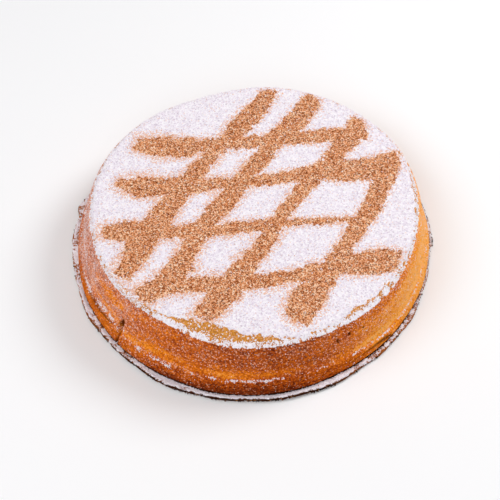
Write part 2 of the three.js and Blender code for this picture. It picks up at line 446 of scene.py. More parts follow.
# %% [markdown]
# ## Marks along the wall
# Two things help to paint the wall. The ledge rises and falls round the cake, so its height is
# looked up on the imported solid, and bands of colour follow it. Cracks, creases and streaks
# are strokes: a line of knots, each with a direction, a height and half the stroke's width.

# %% Find the ledge
LEDGE_LOW = 6.0
LEDGE_HIGH = 23.0
LEDGE_STEP = 0.4


def ledge_height(direction):
    """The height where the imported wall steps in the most."""
    heights = np.arange(LEDGE_LOW, LEDGE_HIGH, LEDGE_STEP)
    radii = np.array([reach(cake_tree, direction, height) for height in heights])
    return heights[np.argmax(radii[:-1] - radii[1:])] + LEDGE_STEP / 2


LEDGE_LINE = np.array([ledge_height(direction) for direction in ROUND])


def ledge_at(directions):
    return np.interp(directions, ROUND, LEDGE_LINE, period=360)


print(f"the ledge is {LEDGE_LINE.min():.1f} to {LEDGE_LINE.max():.1f} mm high")

# %% Measure how near each point is to a stroke
MM_PER_DEGREE = 2.0
CRACK = [
    (-138.4, 1.5, 1.3), (-138.2, 5.5, 1.2), (-138.0, 8.0, 0.6), (-137.9, 12.0, 0.2),
    (-138.5, 15.5, 0.7), (-138.5, 19.0, 1.5), (-137.8, 22.0, 1.2), (-137.4, 25.5, 0.3),
]
CREASES = [
    [(-156.0, 15.8, 0.2), (-150.0, 17.4, 0.4), (-144.0, 18.4, 0.4), (-141.0, 18.4, 0.3)],
    [(-60.0, 8.8, 0.2), (-53.0, 9.2, 0.4), (-48.0, 8.4, 0.9), (-44.5, 6.8, 1.3), (-42.2, 4.8, 1.0)],
    [(-40.0, 3.0, 0.3), (-32.0, 2.4, 1.0), (-26.8, 2.6, 0.9), (-21.9, 5.0, 0.3)],
]
PITS = [
    (-62.7, 31.0, 1.1), (-58.4, 32.5, 0.9), (-53.0, 30.8, 0.7), (-63.2, 35.1, 0.5),
    (-66.3, 26.5, 0.5), (-71.8, 25.3, 0.5),
]


def stroke(points, knots, softness=0.45):
    """1 on a stroke along the wall and 0 away from it."""
    first = knots[0][0]
    around = ((directions_of(points) - first + 180) % 360 - 180) * MM_PER_DEGREE
    places = np.column_stack([around, points[:, 2]])
    marks = np.array([((turn - first) * MM_PER_DEGREE, height, half) for turn, height, half in knots])
    nearest = np.full(len(points), FAR)
    for start, end in zip(marks, marks[1:] if len(marks) > 1 else marks):
        along = end[:2] - start[:2]
        share = np.clip((places - start[:2]) @ along / max(along @ along, 1e-9), 0, 1)
        away = np.linalg.norm(places - start[:2] - share[:, None] * along, axis=1)
        nearest = np.minimum(nearest, away - start[2] - (end[2] - start[2]) * share)
    return smooth_step(softness, -softness, nearest)


print(len(CREASES), "creases and", len(PITS), "burst blisters")

# %% [markdown]
# ## How brown and how dusty the crust is
# The crust is red-brown and nearly bare at the front, light orange at the right, and pink
# under a film of sugar at the left. Part of the red-brown at the front and of the darker foot
# is painted shade, and part of the light orange at the right is painted light. A band in the
# hollow above the ledge stayed golden, because it touched the tin least. These are slow
# changes over the whole wall, so they are painted onto its points as numbers, and the
# material turns the numbers into colour.

# %% How brown the wall is round the cake, with painted light and shade
BROWN_AND_PAINTED_LIGHT_ROUND = [
    (-180, 0.62), (-160, 0.63), (-148, 0.60), (-139, 0.56), (-136, 0.60), (-128, 0.60), (-118, 0.62),
    (-105, 0.67), (-90, 0.75), (-75, 0.74), (-65, 0.67), (-57, 0.56), (-50, 0.40), (-40, 0.28),
    (-25, 0.08), (0, 0.03), (30, 0.12), (90, 0.40), (150, 0.55), (180, 0.62),
]
# Golden band in the hollow: how much paler it is round the cake
PALE_BAND_ROUND = [
    (-180, 0.0), (-150, 0.03), (-140, 0.10), (-133, 0.12), (-127, 0.20), (-122, 0.28), (-116, 0.16),
    (-108, 0.16), (-100, 0.28), (-92, 0.34), (-84, 0.28), (-78, 0.10), (-72, 0.02), (-60, 0.02),
    (-50, 0.15), (-38, 0.18), (-20, 0.06), (60, 0.1), (180, 0.0),
]
PALE_BAND_LIFT = 2.6
SPREAD_BELOW_BAND = 1.1
SPREAD_ABOVE_BAND = 3.4
# Darker foot: how much darker it is round the cake, partly browning and partly painted shade
FOOT_BROWNING_AND_SHADE_ROUND = [
    (-180, 0.05), (-150, 0.0), (-140, 0.04), (-130, 0.15), (-118, 0.30), (-100, 0.34), (-88, 0.36),
    (-80, 0.26), (-72, 0.12), (-60, 0.08), (-50, 0.12), (-42, 0.20), (-30, 0.22), (0, 0.12),
    (90, 0.2), (180, 0.05),
]
# How much of that starts at once at the ledge, and not slowly towards the foot
FOOT_STEP_SHARE = 0.35
# Browner under the crest, at the right
BROWN_CREST_ROUND = [
    (-180, 0.0), (-62, 0.02), (-48, 0.18), (-35, 0.30), (-22, 0.26), (-5, 0.12), (30, 0.0), (180, 0.0),
]
BROWN_CLOUDS = ((11.0, 0.06, 11), (4.0, 0.05, 12))
BROWN_STREAK_SIZE = np.array([26.0, 26.0, 1.5])
# Golden streaks and patches: each is a stroke and how much paler it is. The one on the right, above the
# dark crease, is partly a painted highlight.
GOLDEN_STROKES = [
    ([(-139.0, 19.5, 0.3), (-134.5, 19.0, 0.6), (-131.0, 17.5, 0.3)], 0.22),
    ([(-156.0, 33.0, 0.5), (-148.0, 34.0, 2.0), (-139.5, 33.0, 2.0)], 0.22),
    ([(-155.0, 21.8, 0.3), (-149.0, 23.2, 0.8), (-141.5, 23.0, 0.8)], 0.22),
    ([(-138.0, 13.8, 0.4), (-133.0, 13.6, 0.6), (-127.0, 15.0, 0.4)], 0.16),
    ([(-128.0, 16.8, 0.4), (-123.0, 16.8, 1.2), (-119.5, 17.0, 0.4)], 0.38),
    ([(-57.0, 14.6, 0.3), (-50.0, 13.8, 1.2), (-44.0, 12.2, 1.4), (-38.0, 11.0, 0.8)], 0.42),
]
print(len(GOLDEN_STROKES), "golden streaks and patches")

# %% Paint the browning, with its painted light and shade
def golden_marks(points):
    """How much paler the golden streaks and patches make each point."""
    paler = np.zeros(len(points))
    for knots, amount in GOLDEN_STROKES:
        paler = np.maximum(paler, amount * stroke(points, knots, 2.0))
    return paler


def band_share(points):
    """1 in the middle of the hollow above the ledge and 0 away from it."""
    away = points[:, 2] - ledge_at(directions_of(points)) - PALE_BAND_LIFT
    spread = np.where(away < 0, SPREAD_BELOW_BAND, SPREAD_ABOVE_BAND)
    return np.exp(-0.5 * (away / spread) ** 2)


def browning_and_painted_light(points):
    directions = directions_of(points)
    # partly browning and partly painted light: darker in the shaded front, paler on the lit right
    base = round_values(BROWN_AND_PAINTED_LIGHT_ROUND, directions)
    band = round_values(PALE_BAND_ROUND, directions) * band_share(points)
    band = np.maximum(band, golden_marks(points))
    ledge = ledge_at(directions)
    step = smooth_step(0.3, -1.0, points[:, 2] - ledge)
    slope = smooth_step(1.0, 0.25, points[:, 2] / ledge)
    # the darker foot is partly browning and partly painted shade
    foot = round_values(FOOT_BROWNING_AND_SHADE_ROUND, directions) * (
        FOOT_STEP_SHARE * step + (1 - FOOT_STEP_SHARE) * slope)
    clouds = layered_noise(points, BROWN_CLOUDS)
    streaks = (0.07 + 0.10 * band_share(points)) * soft_noise(points / BROWN_STREAK_SIZE, 1.0, 13)
    crest = round_values(BROWN_CREST_ROUND, directions) * smooth_step(29.0, 38.0, points[:, 2])
    return np.clip(base - band + foot + crest + clouds + streaks, 0, 1)


def shade(points):
    """Painted shade: how dark the crack, the creases and the burst blisters are."""
    dark = 0.9 * stroke(points, CRACK, 0.6)
    for crease in CREASES:
        dark = np.maximum(dark, 0.8 * stroke(points, crease, 0.6))
    for pit in PITS:
        dark = np.maximum(dark, 0.95 * stroke(points, [pit]))
    return dark


points = get_points(crust.data)
brown = browning_and_painted_light(points)
paint(crust.data, "browning_and_painted_light", brown)
paint(crust.data, "golden", smooth_step(CREST_HEIGHT - 0.3, CREST_HEIGHT + 0.4, points[:, 2]))
paint(crust.data, "shade", shade(points))
print("browning runs from", brown.min().round(2), "to", brown.max().round(2))

# %% How dusty the wall is, round the cake
DUST_ROUND = [
    (-180, 0.52), (-168, 0.45), (-155, 0.40), (-147, 0.35), (-139, 0.30), (-134, 0.22), (-120, 0.16),
    (-105, 0.13), (-85, 0.14), (-65, 0.14), (-50, 0.16), (-38, 0.14), (-25, 0.12), (-10, 0.15),
    (10, 0.25), (40, 0.4), (90, 0.5), (150, 0.54), (180, 0.52),
]
# How bare the foot is, below the ledge
BARE_FOOT_ROUND = [
    (-180, 0.4), (-170, 0.8), (-155, 0.85), (-142, 0.8), (-134, 0.4), (-110, 0.5), (-85, 0.6),
    (-75, 0.6), (-50, 0.7), (-35, 0.4), (0, 0.2), (180, 0.4),
]
# Sugar that lies in streaks and patches: each is a stroke and how thick the sugar is
SUGAR_STROKES = [
    ([(-158.0, 17.2, 0.1), (-153.0, 18.6, 0.3)], 0.5),
    ([(-150.5, 19.8, 0.4), (-145.0, 20.6, 0.8), (-141.3, 20.0, 0.5)], 0.75),
    ([(-151.0, 29.5, 0.6), (-149.0, 30.0, 0.9)], 0.6),
    ([(-142.5, 28.3, 0.6), (-139.8, 28.6, 0.8)], 0.6),
    ([(-133.0, 25.8, 0.6), (-129.5, 26.0, 0.6)], 0.55),
    ([(-138.0, 14.9, 0.5), (-136.0, 15.2, 0.4)], 0.8),
    ([(-131.3, 16.2, 0.4), (-128.8, 16.4, 0.4)], 0.8),
]
print(len(SUGAR_STROKES), "streaks and patches of sugar")

# %% Paint the dust
def dusting(points):
    directions = directions_of(points)
    base = round_values(DUST_ROUND, directions)
    pale = np.clip(round_values(PALE_BAND_ROUND, directions) / 0.2, 0, 1) * band_share(points)
    pale = np.maximum(pale, np.clip(golden_marks(points) / 0.25, 0, 1))
    under = smooth_step(0.5, -1.0, points[:, 2] - ledge_at(directions))
    bare = round_values(BARE_FOOT_ROUND, directions) * under
    patches = 1 + 0.35 * soft_noise(points, 9.0, 21)
    dust = base * (1 - 0.7 * pale) * (1 - bare) * patches
    clumps = smooth_step(-0.7, 0.3, soft_noise(points, 1.3, 22))
    for knots, thick in SUGAR_STROKES:
        dust = np.maximum(dust, thick * clumps * stroke(points, knots, 0.9))
    # no sugar dust where the crack, creases and blisters carry painted shade
    return np.clip(dust * (1 - shade(points)), 0, 1)


dust = dusting(points)
paint(crust.data, "dusting", dust)
print("mean dusting", dust.mean().round(2))

# %% [markdown]
# ## Helpers for materials
# Each finish is a short tree of nodes in front of one Principled shader. `Nodes` keeps the
# tree and adds a node in one line, so that a material reads from its first noise to its
# colour. All patterns are in object coordinates, in millimetres.

# %% A small helper that adds nodes
class Nodes:
    """A material's node tree, with short ways to add what the cake's finishes need."""

    def __init__(self, name, roughness, specular):
        self.material = bpy.data.materials.new(name)
        self.material.use_nodes = True
        self.tree = self.material.node_tree
        self.shader = self.tree.nodes["Principled BSDF"]
        self.shader.inputs["Roughness"].default_value = roughness
        self.shader.inputs["Specular IOR Level"].default_value = specular
        place = self.tree.nodes.new("ShaderNodeTexCoord")
        in_mm = self.add("ShaderNodeVectorMath", operation="SCALE")
        self.link(place.outputs["Object"], in_mm.inputs[0])
        in_mm.inputs["Scale"].default_value = 1 / MM
        self.place = in_mm.outputs[0]

    def add(self, kind, **settings):
        node = self.tree.nodes.new(kind)
        for name, value in settings.items():
            setattr(node, name, value)
        return node

    def link(self, start, end):
        self.tree.links.new(start, end)

    def plug(self, socket, value):
        """Sets a socket to a number or colour, or links it to another node's output."""
        if isinstance(value, bpy.types.NodeSocket):
            self.link(value, socket)
        elif isinstance(value, tuple):
            socket.default_value = (*value, 1)
        else:
            socket.default_value = value

    def painted(self, name):
        return self.add("ShaderNodeAttribute", attribute_name=name).outputs["Fac"]

    def math(self, operation, first, second=0.0, clamp=False):
        node = self.add("ShaderNodeMath", operation=operation, use_clamp=clamp)
        self.plug(node.inputs[0], first)
        self.plug(node.inputs[1], second)
        return node.outputs[0]

    def noise(self, size, detail):
        node = self.add("ShaderNodeTexNoise")
        self.link(self.place, node.inputs["Vector"])
        node.inputs["Scale"].default_value = 1 / size
        node.inputs["Detail"].default_value = detail
        return node.outputs["Fac"]

    def grains(self, size):
        """Random grey for each grain of about that size."""
        node = self.add("ShaderNodeTexVoronoi")
        self.link(self.place, node.inputs["Vector"])
        node.inputs["Scale"].default_value = 1 / size
        split = self.add("ShaderNodeSeparateColor")
        self.link(node.outputs["Color"], split.inputs[0])
        return split.outputs[0]

    def above(self, value, level, softness):
        """0 where value is under the level and 1 where it is over it."""
        node = self.add("ShaderNodeMapRange", interpolation_type="SMOOTHSTEP")
        self.link(value, node.inputs["Value"])
        self.link(self.math("SUBTRACT", level, softness), node.inputs["From Min"])
        self.link(self.math("ADD", level, softness), node.inputs["From Max"])
        return node.outputs["Result"]

    def ramp(self, value, stops):
        node = self.add("ShaderNodeValToRGB")
        self.link(value, node.inputs[0])
        elements = node.color_ramp.elements
        while len(elements) < len(stops):
            elements.new(0.5)
        for element, (position, colour) in zip(elements, stops):
            element.position = position
            element.color = (*colour, 1)
        return node.outputs[0]

    def mix(self, share, first, second):
        node = self.add("ShaderNodeMix", data_type="RGBA")
        sockets = [socket for socket in node.inputs if socket.enabled]
        for socket, value in zip(sockets, (share, first, second)):
            self.plug(socket, value)
        return [socket for socket in node.outputs if socket.enabled][0]

    def bump(self, height, depth):
        """Small relief under the light: height from 0 to 1 stands for depth millimetres."""
        node = self.add("ShaderNodeBump")
        node.inputs["Distance"].default_value = depth * MM
        self.link(height, node.inputs["Height"])
        self.link(node.outputs[0], self.shader.inputs["Normal"])

    def colour(self, value):
        self.link(value, self.shader.inputs["Base Color"])
        return self.material


print("finishes can be mixed")

# %% [markdown]
# ## The crust's finish
# Baked shortcrust goes from pale yellow through orange to a deep red-brown, and has almost no
# shine. The sugar dust on it is partly a thin pink film and partly single grains. So a ramp
# turns the browning, with its painted light and shade, into the pastry's colour, and the
# painted dust decides how much film there is and which of the small random grains are sugar.
# The crack, the creases and the burst blisters are darkened with painted shade.

# %% Mix the crust's finish
SUGAR_COLOUR = (0.83, 0.78, 0.82)
PALE_SPECK = (0.94, 0.50, 0.30)
# near-black brown for the painted shade in the crack, the creases and the burst blisters
CREVICE_SHADE_COLOUR = (0.06, 0.012, 0.003)
BROWN_SPECK = (0.36, 0.09, 0.02)
CRUST_STOPS = [
    (0.00, (0.94, 0.45, 0.130)),
    (0.20, (0.96, 0.37, 0.040)),
    (0.38, (0.89, 0.252, 0.014)),
    (0.56, (0.67, 0.140, 0.008)),
    (0.74, (0.47, 0.077, 0.006)),
    (0.90, (0.28, 0.039, 0.004)),
    (1.00, (0.12, 0.016, 0.003)),
]
GOLDEN_STOPS = [
    (0.15, (0.32, 0.098, 0.015)),
    (0.50, (0.62, 0.250, 0.036)),
    (0.85, (0.82, 0.390, 0.080)),
]
CRUST_GRAIN_SIZE = 0.8
CRUST_CLOUD_SIZE = 1.4
PORE_SIZE = 0.7
DUST_GRAIN_SIZE = 0.75
CRUST_BUMP_SIZE = 0.8
DUST_SHARE = 0.9


def crust_finish():
    nodes = Nodes("baked_crust", roughness=0.6, specular=0.0)
    grain = nodes.math("MULTIPLY", nodes.math("SUBTRACT", nodes.grains(CRUST_GRAIN_SIZE), 0.5), 0.42)
    cloudy = nodes.math("SUBTRACT", nodes.noise(CRUST_CLOUD_SIZE, detail=3.0), 0.5)
    clouds = nodes.math("MULTIPLY", cloudy, 0.5)
    uneven = nodes.math("ADD", grain, clouds)
    pastry = nodes.ramp(nodes.math("ADD", nodes.painted("browning_and_painted_light"), uneven, clamp=True), CRUST_STOPS)
    golden = nodes.ramp(nodes.math("SUBTRACT", 0.5, uneven), GOLDEN_STOPS)
    crust_colour = nodes.mix(nodes.painted("golden"), pastry, golden)
    pores = nodes.math("MULTIPLY", nodes.above(nodes.grains(PORE_SIZE), 0.86, 0.03), 0.4)
    # painted shade: the crack, the creases and the burst blisters darken towards a near-black brown
    shaded = nodes.mix(nodes.painted("shade"), nodes.mix(pores, crust_colour, BROWN_SPECK), CREVICE_SHADE_COLOUR)
    dust = nodes.painted("dusting")
    share = nodes.math("MULTIPLY", dust, DUST_SHARE)
    specks = nodes.above(nodes.grains(DUST_GRAIN_SIZE), nodes.math("SUBTRACT", 1.0, share), 0.04)
    speck_colour = nodes.mix(share, PALE_SPECK, SUGAR_COLOUR)
    speckled = nodes.mix(nodes.math("MULTIPLY", specks, 0.6), shaded, speck_colour)
    film = nodes.math("MULTIPLY", nodes.math("MULTIPLY", dust, dust), nodes.noise(2.0, detail=3.0))
    nodes.bump(nodes.noise(CRUST_BUMP_SIZE, detail=4.0), depth=0.25)
    return nodes.colour(nodes.mix(film, speckled, SUGAR_COLOUR))


crust.data.materials.append(crust_finish())
print("the crust is finished")

# %% [markdown]
# ## The sheet under the cake
# The thin sheet of pastry closed the tin in the oven. Its edge sticks out a few millimetres,
# is lifted off the table and frayed, and its cut side is nearly black at the front: partly
# baked black and partly painted shadow under the lifted edge. The narrow gap at the wall's
# foot is darkened with painted shade. It is rolled like the crust and wrapped onto its solid
# from above and below.

# %% Roll the sheet
SHEET_SIDES = 720
FLANGE_START = 112.0
FLANGE_RINGS = 12
SHEET_NOMINAL = 121.0
EDGE_HEIGHTS = (0.9, 1.6, 2.2)

sheet_tree = ray_tree(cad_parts["pastry_sheet"])
SHEET_LINE = np.max([reach_round(sheet_tree, height) for height in EDGE_HEIGHTS], axis=0)


def sheet_edge(directions):
    return np.interp(directions, ROUND, SHEET_LINE, period=360)


def sheet_profile():
    """Underside out to the edge and the upper side back, 1 mm apart so that none merge."""
    steps = [share / FLANGE_RINGS for share in range(FLANGE_RINGS + 1)]
    flange = [FLANGE_START + (SHEET_NOMINAL - FLANGE_START) * step for step in steps]
    below = [(radius, 0.0) for radius in (0, 60, 100, *flange)]
    side = [(SHEET_NOMINAL + 0.3, 0.7), (SHEET_NOMINAL + 0.3, 1.2)]
    above = [(radius, SHEET_TOP) for radius in (*reversed(flange), 100, 60, 0)]
    return below + side + above


sheet_mesh = roll_profile(sheet_profile(), SHEET_SIDES)
sheet = make_piece("foot_sheet", sheet_mesh, replaced="pastry_sheet")
report(sheet)

# %% Wrap the sheet onto its solid
FRAY = ((3.5, 0.4, 31), (1.1, 0.25, 32))
CURL = ((5.0, 0.35, 33), (1.8, 0.18, 34))
CURL_DOWN = 0.3


def bottom_of(tree, x, y):
    hit = tree.ray_cast(Vector((x, y, -FAR)) * MM, Vector((0, 0, 1)))[0]
    return hit.z / MM if hit else 0.0


def wrap_sheet(points):
    directions = directions_of(points)
    radii = radii_of(points)
    share = np.clip((radii - FLANGE_START) / (SHEET_NOMINAL - FLANGE_START), 0, None)
    edge = sheet_edge(directions)
    frayed = edge + layered_noise(points[:, :2], FRAY)
    reached = FLANGE_START + (frayed - FLANGE_START) * share
    wrapped = np.where(share > 0, reached, radii)
    probe = np.minimum(wrapped, edge - 0.6)
    heights = points[:, 2] / SHEET_TOP
    for index, (x, y) in enumerate(flat_at(directions, probe)):
        low = bottom_of(sheet_tree, x, y)
        heights[index] = low + (top_of(sheet_tree, x, y) - low) * heights[index]
    return np.column_stack([flat_at(directions, wrapped), heights])


points = wrap_sheet(get_points(sheet.data))
on_flange = smooth_step(FLANGE_START, FLANGE_START + 5, radii_of(points))
curl = np.maximum(layered_noise(points[:, :2], CURL), -CURL_DOWN)
points[:, 2] = np.maximum(points[:, 2] + curl * on_flange, 0)
set_points(sheet.data, points)
sheet_top_tree = ray_tree(sheet)
report(sheet)

# %% Find the wall's foot, all round
ABOVE_SHEET = 3.5
FOOT_LINE = reach_round(cake_tree, ABOVE_SHEET)


def foot_radius(directions):
    return np.interp(directions, ROUND, FOOT_LINE, period=360)


print(f"the wall's foot is {FOOT_LINE.min():.1f} to {FOOT_LINE.max():.1f} mm from the axis")

# %% Mix the sheet's finish
# the darkest stop carries burnt pastry, the painted shadow at the edge and the painted shade at the
# wall's foot
SHEET_STOPS = [
    (0.0, (0.62, 0.30, 0.09)),
    (0.45, (0.42, 0.13, 0.025)),
    (1.0, (0.05, 0.012, 0.004)),
]


def sheet_finish():
    nodes = Nodes("baked_sheet", roughness=0.7, specular=0.05)
    # burnt pastry together with painted shadow and shade
    painted = nodes.painted("burnt_and_shadow")
    burnt_and_shadow = nodes.math("ADD", painted, nodes.math("MULTIPLY", nodes.noise(2.0, detail=3.0), 0.3))
    pastry = nodes.ramp(nodes.math("SUBTRACT", burnt_and_shadow, 0.15, clamp=True), SHEET_STOPS)
    specks = nodes.above(nodes.grains(0.8), nodes.math("ADD", painted, 0.4), 0.04)
    speckled = nodes.mix(nodes.math("MULTIPLY", specks, 0.8), pastry, SUGAR_COLOUR)
    nodes.bump(nodes.noise(0.9, detail=4.0), depth=0.3)
    return nodes.colour(speckled)


sheet.data.materials.append(sheet_finish())
print("the sheet is finished")

# %% Paint how burnt the sheet is, with painted shadow at its edge and painted shade at the wall's foot
# how dark the edge is round the cake: partly burnt pastry and partly painted shadow, most at the front
EDGE_BURN_AND_SHADOW_ROUND = [
    (-180, 0.15), (-158, 0.2), (-145, 0.6), (-128, 1.0), (-72, 1.0), (-60, 0.6), (-45, 0.3),
    (-25, 0.2), (0, 0.2), (90, 0.5), (150, 0.3), (180, 0.15),
]
directions = directions_of(points)
outward = radii_of(points)
edge_burn_and_shadow = smooth_step(-0.7, 0.0, outward - sheet_edge(directions))
edge_burn_and_shadow *= round_values(EDGE_BURN_AND_SHADOW_ROUND, directions)
# painted shade in the narrow gap at the wall's foot
foot_gap_shade = smooth_step(1.2, 0.2, outward - foot_radius(directions))
burnt_and_shadow = 0.45 + 0.6 * np.maximum(edge_burn_and_shadow, foot_gap_shade)
paint(sheet.data, "burnt_and_shadow", burnt_and_shadow)
print("the sheet is burnt from", burnt_and_shadow.min().round(2), "to", burnt_and_shadow.max().round(2))

# %% [markdown]
# ## The icing sugar
# Sifted sugar is a layer about a millimetre thick with small clumps, and it thins out into
# single specks at its edge. A cloud of grains would be too heavy to cover the whole top, so
# the layer is one fine sheet: it lies on the crust where there is sugar, and dips under the
# crust where there is none. Its ragged edge is the line where the two surfaces cross.

# %% Where the sugar ends
sugar_tree = ray_tree(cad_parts["icing_sugar"])
SUGAR_LINE = reach_round(sugar_tree, CAKE_TOP + 0.2)
NARROW_SHOULDER = float(np.median(CREST_LINE - SUGAR_LINE))
print(f"the packed sugar ends {NARROW_SHOULDER:.1f} mm inside the crest")


# How much further in the layer ends than the shoulder asks, round the cake
THIN_EDGE_ROUND = [
    (-180, 0.0), (-152, 0.5), (-142, 2.6), (-128, 2.4), (-118, 0.5), (-106, -0.5), (-90, 0.0),
    (-62, 0.0), (-50, 1.4), (-36, 2.4), (-24, 0.6), (-12, 0.8), (6, 1.5), (18, 0.6), (180, 0.0),
]


def sugar_edge(directions):
    """Where the layer ends: at the crest, and further in where the shoulder is wide."""
    line = np.interp(directions, ROUND, SUGAR_LINE, period=360)
    crest = crest_radius(directions)
    bare = np.maximum(crest - line - NARROW_SHOULDER - 0.6, 0)
    return crest - 0.5 - 1.35 * bare - round_values(THIN_EDGE_ROUND, directions)


# %% Lay a fine grid over the top
GRID_HALF = 110.0
GRID_CELLS = 333
SUGAR_THICKNESS = 0.95
SUGAR_DIP = 0.5
THINNEST_SUGAR = 0.35
SHOULDER_WIDTH = 5.0
RAGGED_EDGE = ((3.2, 1.3, 41), (1.3, 1.0, 42))
SUGAR_RELIEF = ((7.0, 0.16, 43), (2.0, 0.34, 44), (0.95, 0.26, 45))
UNDER_CREST = 0.2


def sugar_cover(points):
    """Thickness of the layer at each place, below zero where there is none."""
    directions = directions_of(points)
    flat = points[:, :2]
    inside = sugar_edge(directions) - radii_of(flat)
    shoulder = smooth_step(0.0, SHOULDER_WIDTH, inside)
    full = THINNEST_SUGAR + (SUGAR_THICKNESS - THINNEST_SUGAR) * shoulder
    edge = (inside + layered_noise(flat, RAGGED_EDGE)) * 0.6
    return np.minimum(np.clip(edge, -SUGAR_DIP, 1.0), full + layered_noise(flat, SUGAR_RELIEF))


def in_crest(points):
    return radii_of(points) < crest_radius(directions_of(points)) - UNDER_CREST


def grid_disc():
    """A flat grid, cut to the places inside the crest."""
    mesh = bmesh.new()
    bmesh.ops.create_grid(mesh, x_segments=GRID_CELLS, y_segments=GRID_CELLS, size=GRID_HALF * MM)
    outside = [point for point, kept in zip(mesh.verts, in_crest(places_of(mesh))) if not kept]
    bmesh.ops.delete(mesh, geom=outside, context="VERTS")
    return mesh


def close_below(mesh, depth):
    """Pulls the open edge down and fills it, which makes the sheet a closed body."""
    border = [edge for edge in mesh.edges if edge.is_boundary]
    skirt = bmesh.ops.extrude_edge_only(mesh, edges=border)["geom"]
    low = [item for item in skirt if isinstance(item, bmesh.types.BMVert)]
    for point in low:
        point.co.z = depth * MM
    rim = [edge for edge in mesh.edges if edge.is_boundary]
    bmesh.ops.triangle_fill(mesh, use_beauty=True, edges=rim)
    bmesh.ops.recalc_face_normals(mesh, faces=mesh.faces)


def lay_sugar():
    mesh = grid_disc()
    places = places_of(mesh)
    heights = tops_of(crust_tree, places, CREST_HEIGHT - 1) + sugar_cover(places)
    for point, height in zip(mesh.verts, heights):
        point.co.z = height * MM
    close_below(mesh, CREST_HEIGHT - 3)
    return make_piece("sugar_layer", mesh, replaced="icing_sugar")


sugar = lay_sugar()
sugar_top_tree = ray_tree(sugar)
report(sugar)

# %% [markdown]
# ## The cinnamon stripes
# The stripes are sifted powder too: dense in the middle and feathered at both sides. They are
# made like the sugar, from the same grid, so that the two sheets fit point for point. How
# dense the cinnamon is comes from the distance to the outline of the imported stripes.

# %% How dense the cinnamon is
def outline_tree(piece):
    """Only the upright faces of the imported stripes, which are their outline."""
    mesh = bmesh.new()
    mesh.from_mesh(piece.data)
    mesh.normal_update()
    level = [face for face in mesh.faces if abs(face.normal.z) > 0.2]
    bmesh.ops.delete(mesh, geom=level, context="FACES_ONLY")
    tree = BVHTree.FromBMesh(mesh)
    mesh.free()
    return tree


lattice_tree = ray_tree(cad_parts["cinnamon_lattice"])
stripe_outline = outline_tree(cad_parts["cinnamon_lattice"])


def depth_in_stripe(points):
    """How far inside a stripe each place is, in millimetres, and below zero outside."""
    depths = np.empty(len(points))
    for index, (x, y) in enumerate(points[:, :2]):
        away = stripe_outline.find_nearest(Vector((x, y, SUGAR_TOP + 0.1)) * MM)[3] / MM
        depths[index] = away if top_of(lattice_tree, x, y) > SUGAR_TOP else -away
    return depths


# How far the powder thins out on either side of a stripe's outline
FEATHER_OUT = 5.0
FEATHER_IN = 2.4
STRIPE_WANDER = ((7.0, 1.5, 51), (2.5, 0.9, 52))
STRIPE_PATCHES = ((9.0, 0.10, 53), (3.5, 0.08, 54))


def cinnamon_density(points, depths):
    flat = points[:, :2]
    dense = smooth_step(-FEATHER_OUT, FEATHER_IN, depths + layered_noise(flat, STRIPE_WANDER))
    return np.clip(dense * (0.93 + layered_noise(flat, STRIPE_PATCHES)), 0, 1)


print("the stripes thin out over", FEATHER_OUT + FEATHER_IN, "mm")

# %% Lay the cinnamon on the sugar
CINNAMON_THICKNESS = 0.9
CINNAMON_DIP = 0.3
CINNAMON_GRAIN = ((0.9, 0.8, 55), (2.0, 0.2, 56))


def lay_cinnamon():
    mesh = grid_disc()
    places = places_of(mesh)
    depths = depth_in_stripe(places)
    far = [point for point, depth in zip(mesh.verts, depths) if depth < -FEATHER_OUT - 1]
    bmesh.ops.delete(mesh, geom=far, context="VERTS")
    places = places_of(mesh)
    density = cinnamon_density(places, depths[depths >= -FEATHER_OUT - 1])
    grain = layered_noise(places[:, :2], CINNAMON_GRAIN)
    lift = np.clip((density - 0.52 - 0.42 * grain) * CINNAMON_THICKNESS, -CINNAMON_DIP, 0.55)
    base = tops_of(crust_tree, places, CREST_HEIGHT - 1) + sugar_cover(places)
    for point, height in zip(mesh.verts, base + lift):
        point.co.z = height * MM
    close_below(mesh, CREST_HEIGHT - 2)
    return make_piece("cinnamon_stripes", mesh, replaced="cinnamon_lattice")


cinnamon = lay_cinnamon()
report(cinnamon)

# %% The colours of the two powders
CINNAMON_STOPS = [
    (0.14, (0.18, 0.040, 0.010)),
    (0.34, (0.50, 0.145, 0.044)),
    (0.54, (0.76, 0.300, 0.124)),
    (0.74, (0.92, 0.50, 0.27)),
    (0.90, (0.98, 0.79, 0.61)),
]
SUGAR_STOPS = [
    (0.12, (0.56, 0.46, 0.55)),
    (0.34, (0.82, 0.74, 0.83)),
    (0.56, (0.95, 0.89, 0.95)),
    (0.80, (1.0, 0.98, 1.0)),
]
# a lighter copy of the sugar's colours for single grains and the foot ring: painted light that keeps
# sugar lying in shade at the foot white
LIT_SUGAR_STOPS = [
    (0.10, (0.74, 0.66, 0.73)),
    (0.40, (0.96, 0.90, 0.96)),
    (0.70, (1.0, 0.98, 1.0)),
]
SPECK_COLOUR = (0.84, 0.45, 0.27)
PEACH = (0.94, 0.62, 0.43)
print("cinnamon has", len(CINNAMON_STOPS), "tones and sugar", len(SUGAR_STOPS))

